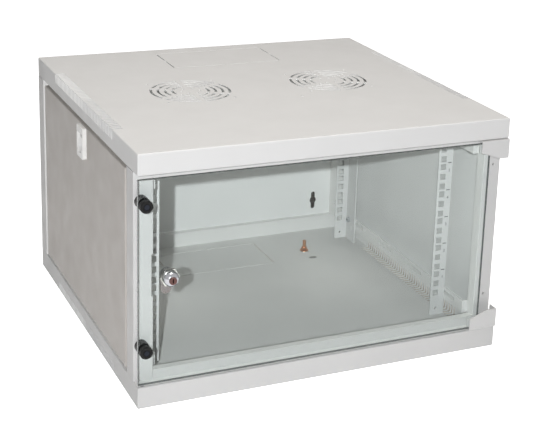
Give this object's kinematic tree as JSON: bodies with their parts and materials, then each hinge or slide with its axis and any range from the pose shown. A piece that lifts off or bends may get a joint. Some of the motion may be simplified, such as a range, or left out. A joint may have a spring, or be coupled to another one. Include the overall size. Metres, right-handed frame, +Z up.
{
  "type": "wall mount network cabinet",
  "caption": "Wall mount network cabinet: glass door on hinge pins, sliding rack rails, ring-slot fan grilles, wrap-round vents and side panels that tilt out from hooks.",
  "frame": {"origin": "centre of the base tray's underside", "axes": "+X to the right seen from the front, +Y to the back, +Z up"},
  "size_m": [0.582, 0.5588, 0.368],
  "materials": {
    "roof_paint": "textured powder coat",
    "base_paint": "textured powder coat",
    "back_paint": "textured powder coat",
    "frame_paint": "textured powder coat",
    "beam_paint": "textured powder coat",
    "panel_paint": "textured powder coat",
    "rail_paint": "textured powder coat",
    "bracket_paint": "satin paint",
    "glass": "clear, slightly green",
    "rubber": "matt black",
    "screw_steel": "zinc plated",
    "pin_steel": "turned",
    "lock_chrome": "bright chrome",
    "lock_steel": "nickel plated",
    "lock_plug": "bright chrome",
    "lock_cam": "nickel plated",
    "latch_plastic": "moulded plastic",
    "slider_plastic": "moulded plastic",
    "earth_brass": "plain brass",
    "earth_washer": "zinc plated",
    "hinge_nylon": "nylon"
  },
  "bodies": {
    "cabinet": {"roof": "roof_paint", "base": "base_paint", "back_panel": "back_paint", "front_beam_top": "frame_paint", "front_beam_bottom": "frame_paint", "earth_stud": "earth_brass", "earth_washer": "earth_washer", "earth_nut": "earth_brass", "hinge_washer": "hinge_nylon", "front_post_left": "frame_paint", "rear_post_left": "frame_paint", "side_beam_lower_left": "beam_paint", "side_beam_upper_left": "beam_paint", "front_post_right": "frame_paint", "rear_post_right": "frame_paint", "side_beam_lower_right": "beam_paint", "side_beam_upper_right": "beam_paint"},
    "rail_front_left": {"rail_front_left": "rail_paint", "rail_bolts_front_left": "screw_steel", "rail_nuts_front_left": "screw_steel"},
    "rail_front_right": {"rail_front_right": "rail_paint", "rail_bolts_front_right": "screw_steel", "rail_nuts_front_right": "screw_steel"},
    "rail_rear_left": {"rail_rear_left": "rail_paint", "rail_bolts_rear_left": "screw_steel", "rail_nuts_rear_left": "screw_steel"},
    "rail_rear_right": {"rail_rear_right": "rail_paint", "rail_bolts_rear_right": "screw_steel", "rail_nuts_rear_right": "screw_steel"},
    "door": {"glass_door": "glass", "hinge_bracket_top": "bracket_paint", "hinge_bracket_bottom": "bracket_paint", "hinge_pin_top": "pin_steel", "hinge_pin_bottom": "pin_steel", "bracket_screws": "screw_steel", "buffers_front": "rubber", "buffers_rear": "rubber", "buffer_screws": "screw_steel", "lock_body": "lock_chrome", "lock_nut": "lock_steel"},
    "lock_core": {"lock_plug": "lock_plug", "lock_cam": "lock_cam", "cam_screw": "screw_steel"},
    "panel_left": {"side_panel_left": "panel_paint", "latch_housing_left": "latch_plastic"},
    "latch_left": {"latch_slider_left": "slider_plastic"},
    "panel_right": {"side_panel_right": "panel_paint", "latch_housing_right": "latch_plastic"},
    "latch_right": {"latch_slider_right": "slider_plastic"}
  },
  "joints": [
    {"name": "door_hinge", "type": "hinge", "parent": "cabinet", "child": "door", "pos_m": [0.277, -0.27, 0.184], "axis": [0, 0, 1], "range_deg": [0, 120]},
    {"name": "lock_turn", "type": "hinge", "parent": "door", "child": "lock_core", "pos_m": [-0.238, -0.27, 0.187], "axis": [0, 1, 0], "range_deg": [0, 90]},
    {"name": "rail_front_left_slide", "type": "slide", "parent": "cabinet", "child": "rail_front_left", "axis": [0, 1, 0], "range_m": [-0.039, 0.013]},
    {"name": "rail_front_right_slide", "type": "slide", "parent": "cabinet", "child": "rail_front_right", "axis": [0, 1, 0], "range_m": [-0.039, 0.013]},
    {"name": "rail_rear_left_slide", "type": "slide", "parent": "cabinet", "child": "rail_rear_left", "axis": [0, 1, 0], "range_m": [-0.053, 0]},
    {"name": "rail_rear_right_slide", "type": "slide", "parent": "cabinet", "child": "rail_rear_right", "axis": [0, 1, 0], "range_m": [-0.053, 0]},
    {"name": "panel_left_tilt", "type": "hinge", "parent": "cabinet", "child": "panel_left", "pos_m": [-0.28, 0.008, 0.0314], "axis": [0, -1, 0], "range_deg": [0, 25]},
    {"name": "latch_left_slide", "type": "slide", "parent": "panel_left", "child": "latch_left", "axis": [0, 0, 1], "range_m": [0, 0.006]},
    {"name": "panel_right_tilt", "type": "hinge", "parent": "cabinet", "child": "panel_right", "pos_m": [0.28, 0.008, 0.0314], "axis": [0, 1, 0], "range_deg": [0, 25]},
    {"name": "latch_right_slide", "type": "slide", "parent": "panel_right", "child": "latch_right", "axis": [0, 0, 1], "range_m": [0, 0.006]}
  ]
}
